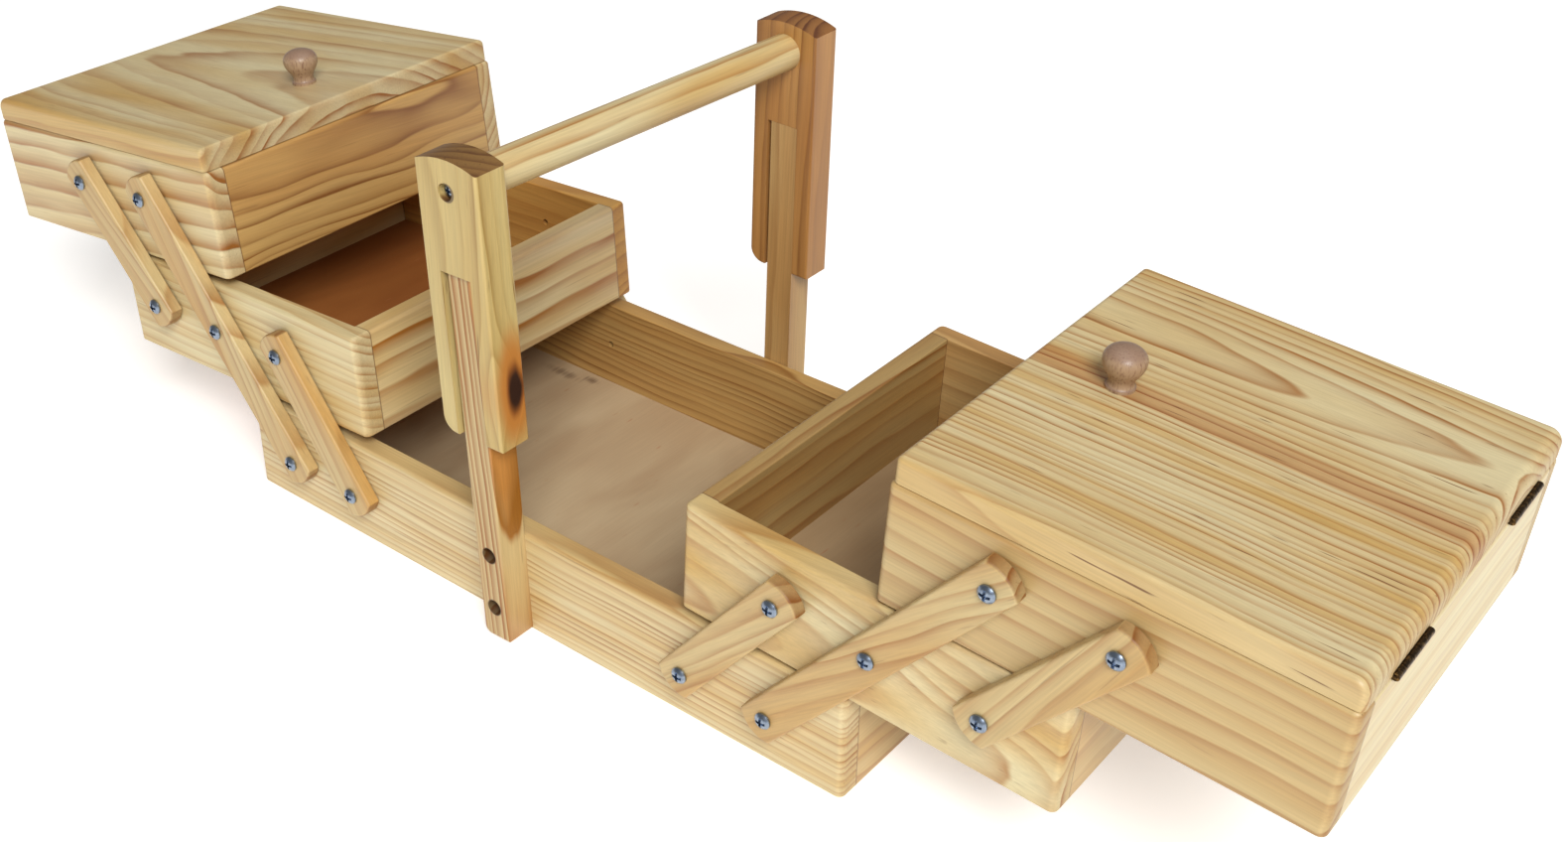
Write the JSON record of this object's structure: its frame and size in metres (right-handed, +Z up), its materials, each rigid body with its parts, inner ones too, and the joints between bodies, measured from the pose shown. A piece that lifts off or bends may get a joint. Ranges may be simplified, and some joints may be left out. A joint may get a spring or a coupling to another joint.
{
  "type": "cantilever sewing box",
  "caption": "Open wooden cantilever sewing box: a base, trays and lidded top boxes that swing out on arms, and a fixed carrying handle.",
  "frame": {"origin": "middle of the base box's underside", "axes": "+X towards the right wing, +Y towards the rear, +Z up"},
  "size_m": [0.7951, 0.2352, 0.2497],
  "materials": {
    "pine_base": "clear satin lacquer",
    "pine_tray": "clear satin lacquer",
    "pine_top": "clear satin lacquer",
    "pine_lid": "clear satin lacquer",
    "pine_arm": "clear satin lacquer",
    "pine_handle": "clear satin lacquer",
    "plywood_floor": "plain sanded",
    "beech_knob": "clear satin lacquer",
    "zinc_screw": "bright zinc plate",
    "bronzed_hinge": "dark antiqued"
  },
  "bodies": {
    "base": {"base_front_board": "pine_base", "base_rear_board": "pine_base", "base_end_boards": "pine_base", "base_floor": "plywood_floor", "base_arm_screws": "zinc_screw", "front_post": "pine_handle", "rear_post": "pine_handle", "front_cheek": "pine_handle", "rear_cheek": "pine_handle", "handle_bar": "pine_handle", "post_screws": "zinc_screw", "bar_screws": "zinc_screw"},
    "right_long_arms": {"right_front_long_arm": "pine_arm", "right_rear_long_arm": "pine_arm"},
    "right_lower_arms": {"right_front_lower_arm": "pine_arm", "right_rear_lower_arm": "pine_arm"},
    "right_tray": {"right_tray_front_board": "pine_tray", "right_tray_rear_board": "pine_tray", "right_tray_end_boards": "pine_tray", "right_tray_floor": "plywood_floor", "right_tray_arm_screws": "zinc_screw"},
    "right_upper_arms": {"right_front_upper_arm": "pine_arm", "right_rear_upper_arm": "pine_arm"},
    "right_top_box": {"right_top_front_board": "pine_top", "right_top_rear_board": "pine_top", "right_top_end_boards": "pine_top", "right_top_floor": "plywood_floor", "right_top_arm_screws": "zinc_screw", "right_hinge_box_leaves": "bronzed_hinge", "right_hinge_pins": "bronzed_hinge", "right_hinge_box_screws": "bronzed_hinge"},
    "right_lid": {"right_lid": "pine_lid", "right_knob": "beech_knob", "right_knob_screw": "zinc_screw", "right_hinge_lid_leaves": "bronzed_hinge", "right_hinge_lid_screws": "bronzed_hinge"},
    "left_long_arms": {"left_front_long_arm": "pine_arm", "left_rear_long_arm": "pine_arm"},
    "left_lower_arms": {"left_front_lower_arm": "pine_arm", "left_rear_lower_arm": "pine_arm"},
    "left_tray": {"left_tray_front_board": "pine_tray", "left_tray_rear_board": "pine_tray", "left_tray_end_boards": "pine_tray", "left_tray_floor": "plywood_floor", "left_tray_arm_screws": "zinc_screw"},
    "left_upper_arms": {"left_front_upper_arm": "pine_arm", "left_rear_upper_arm": "pine_arm"},
    "left_top_box": {"left_top_front_board": "pine_top", "left_top_rear_board": "pine_top", "left_top_end_boards": "pine_top", "left_top_floor": "plywood_floor", "left_top_arm_screws": "zinc_screw", "left_hinge_box_leaves": "bronzed_hinge", "left_hinge_pins": "bronzed_hinge", "left_hinge_box_screws": "bronzed_hinge"},
    "left_lid": {"left_lid": "pine_lid", "left_knob": "beech_knob", "left_knob_screw": "zinc_screw", "left_hinge_lid_leaves": "bronzed_hinge", "left_hinge_lid_screws": "bronzed_hinge"}
  },
  "joints": [
    {"name": "right_wing_swing", "type": "hinge", "parent": "base", "child": "right_long_arms", "pos_m": [0.15601, 0, 0.0297], "axis": [0, -1, 0], "range_deg": [0, 80.61]},
    {"name": "right_lower_arm_swing", "type": "hinge", "parent": "base", "child": "right_lower_arms", "pos_m": [0.10895, 0, 0.0297], "axis": [0, -1, 0], "range_deg": [0, 79.62]},
    {"name": "right_tray_tilt", "type": "hinge", "parent": "right_long_arms", "child": "right_tray", "pos_m": [0.20702, 0, 0.08963], "axis": [0, -1, 0], "range_deg": [-78.01, 0]},
    {"name": "right_top_box_tilt", "type": "hinge", "parent": "right_long_arms", "child": "right_top_box", "pos_m": [0.25871, 0, 0.14898], "axis": [0, -1, 0], "range_deg": [-77.21, 0]},
    {"name": "right_upper_arm_swing", "type": "hinge", "parent": "right_tray", "child": "right_upper_arms", "pos_m": [0.26029, 0, 0.08721], "axis": [0, -1, 0], "range_deg": [0, 78.36]},
    {"name": "right_lid_swing", "type": "hinge", "parent": "right_top_box", "child": "right_lid", "pos_m": [0.3972, 0, 0.16111], "axis": [0, 1, 0], "range_deg": [0, 105]},
    {"name": "left_wing_swing", "type": "hinge", "parent": "base", "child": "left_long_arms", "pos_m": [-0.15601, 0, 0.0297], "axis": [0, 1, 0], "range_deg": [0, 79.21]},
    {"name": "left_lower_arm_swing", "type": "hinge", "parent": "base", "child": "left_lower_arms", "pos_m": [-0.10944, 0, 0.0297], "axis": [0, 1, 0], "range_deg": [0, 77.95]},
    {"name": "left_tray_tilt", "type": "hinge", "parent": "left_long_arms", "child": "left_tray", "pos_m": [-0.20554, 0, 0.09086], "axis": [0, 1, 0], "range_deg": [-75.81, 0]},
    {"name": "left_top_box_tilt", "type": "hinge", "parent": "left_long_arms", "child": "left_top_box", "pos_m": [-0.25577, 0, 0.15146], "axis": [0, 1, 0], "range_deg": [-72.61, 0]},
    {"name": "left_upper_arm_swing", "type": "hinge", "parent": "left_tray", "child": "left_upper_arms", "pos_m": [-0.25728, 0, 0.08779], "axis": [0, 1, 0], "range_deg": [0, 77.13]},
    {"name": "left_lid_swing", "type": "hinge", "parent": "left_top_box", "child": "left_lid", "pos_m": [-0.39471, 0, 0.15583], "axis": [0, -1, 0], "range_deg": [0, 105]}
  ],
  "couplings": [
    {"joint": "right_lower_arm_swing", "follows": "right_wing_swing", "ratio": 0.98765},
    {"joint": "right_tray_tilt", "follows": "right_wing_swing", "ratio": -0.96775},
    {"joint": "right_top_box_tilt", "follows": "right_wing_swing", "ratio": -0.95782},
    {"joint": "right_upper_arm_swing", "follows": "right_wing_swing", "ratio": 0.972},
    {"joint": "left_lower_arm_swing", "follows": "left_wing_swing", "ratio": 0.98401},
    {"joint": "left_tray_tilt", "follows": "left_wing_swing", "ratio": -0.95708},
    {"joint": "left_top_box_tilt", "follows": "left_wing_swing", "ratio": -0.91668},
    {"joint": "left_upper_arm_swing", "follows": "left_wing_swing", "ratio": 0.97369}
  ]
}
